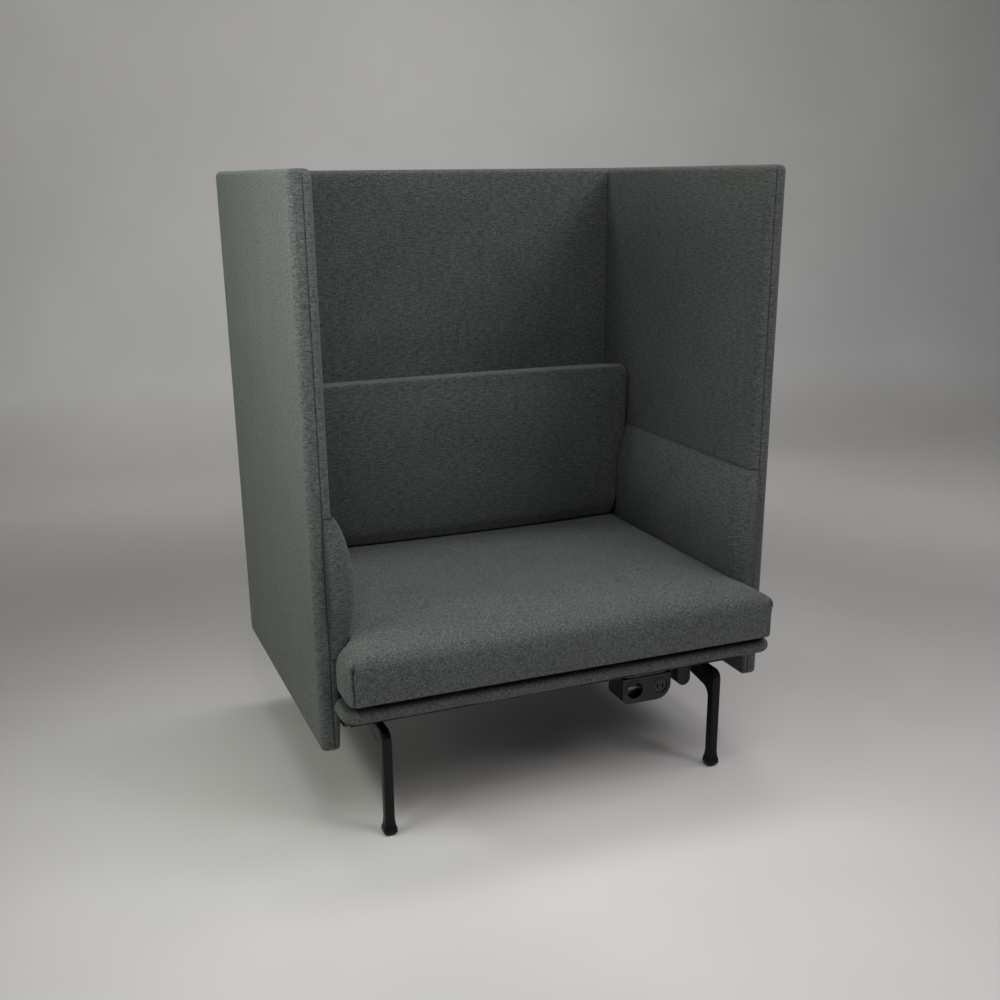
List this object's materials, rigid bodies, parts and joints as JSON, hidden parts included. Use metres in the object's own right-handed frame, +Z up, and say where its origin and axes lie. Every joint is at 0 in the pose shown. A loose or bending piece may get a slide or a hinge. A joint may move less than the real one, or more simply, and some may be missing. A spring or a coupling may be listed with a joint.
{
  "type": "high back lounge chair",
  "caption": "High back lounge chair: loose seat and back cushions between tall upholstered panels, on slim cast metal legs, with a power unit hung under the front of the seat.",
  "frame": {"origin": "on the floor, in the middle of the chair's overall width and depth", "axes": "+X to the right as seen from in front of the chair, +Y to its rear, +Z up"},
  "size_m": [0.952, 0.793, 1.22],
  "materials": {
    "wool_fabric": "matt melange wool weave over foam",
    "birch_plywood": "bare plywood",
    "pine_timber": "planed softwood",
    "zinc_steel": "zinc plated",
    "black_steel": "black powder coat",
    "cast_leg_black": "satin black powder coat",
    "black_plastic": "fine matt texture",
    "socket_plastic": "satin",
    "nickel_contact": "nickel plated",
    "dust_cloth": "thin nonwoven cloth"
  },
  "bodies": {
    "chair": {"left_side_cover": "wool_fabric", "left_side_board": "birch_plywood", "right_side_cover": "wool_fabric", "right_side_board": "birch_plywood", "back_cover": "wool_fabric", "back_board": "birch_plywood", "corner_stud_left_low": "zinc_steel", "corner_stud_left_high": "zinc_steel", "corner_stud_right_low": "zinc_steel", "corner_stud_right_high": "zinc_steel", "left_arm_pad": "wool_fabric", "right_arm_pad": "wool_fabric", "deck_cover": "wool_fabric", "lip_board": "birch_plywood", "front_rail": "pine_timber", "rear_rail": "pine_timber", "left_rail": "pine_timber", "right_rail": "pine_timber", "seat_spring_1": "zinc_steel", "seat_spring_2": "zinc_steel", "seat_spring_3": "zinc_steel", "seat_spring_4": "zinc_steel", "seat_spring_5": "zinc_steel", "left_channel": "black_steel", "right_channel": "black_steel", "panel_bolt_left_front": "black_steel", "panel_bolt_left_rear": "black_steel", "panel_bolt_right_front": "black_steel", "panel_bolt_right_rear": "black_steel", "back_bolt_left": "black_steel", "back_bolt_right": "black_steel", "dust_cover": "dust_cloth", "leg_front_left": "cast_leg_black", "leg_front_right": "cast_leg_black", "leg_rear_left": "cast_leg_black", "leg_rear_right": "cast_leg_black", "leg_bolt_front_left_1": "zinc_steel", "leg_bolt_front_left_2": "zinc_steel", "leg_bolt_front_right_1": "zinc_steel", "leg_bolt_front_right_2": "zinc_steel", "leg_bolt_rear_left_1": "zinc_steel", "leg_bolt_rear_left_2": "zinc_steel", "leg_bolt_rear_right_1": "zinc_steel", "leg_bolt_rear_right_2": "zinc_steel", "glide_front_left": "black_plastic", "glide_front_right": "black_plastic", "glide_rear_left": "black_plastic", "glide_rear_right": "black_plastic", "power_hanger": "nickel_contact", "power_housing": "black_plastic", "power_bezel": "black_plastic", "socket_insert": "socket_plastic", "earth_contact": "nickel_contact", "charger_module": "socket_plastic", "power_inlet": "black_plastic"},
    "seat_cushion": {"seat_cushion": "wool_fabric"},
    "back_cushion": {"back_cushion": "wool_fabric"}
  },
  "joints": [
    {"name": "seat_cushion_slide", "type": "slide", "parent": "chair", "child": "seat_cushion", "axis": [0, -1, 0], "range_m": [0, 0.25]},
    {"name": "back_cushion_lift", "type": "slide", "parent": "chair", "child": "back_cushion", "axis": [0, 0, 1], "range_m": [0, 0.3]}
  ]
}
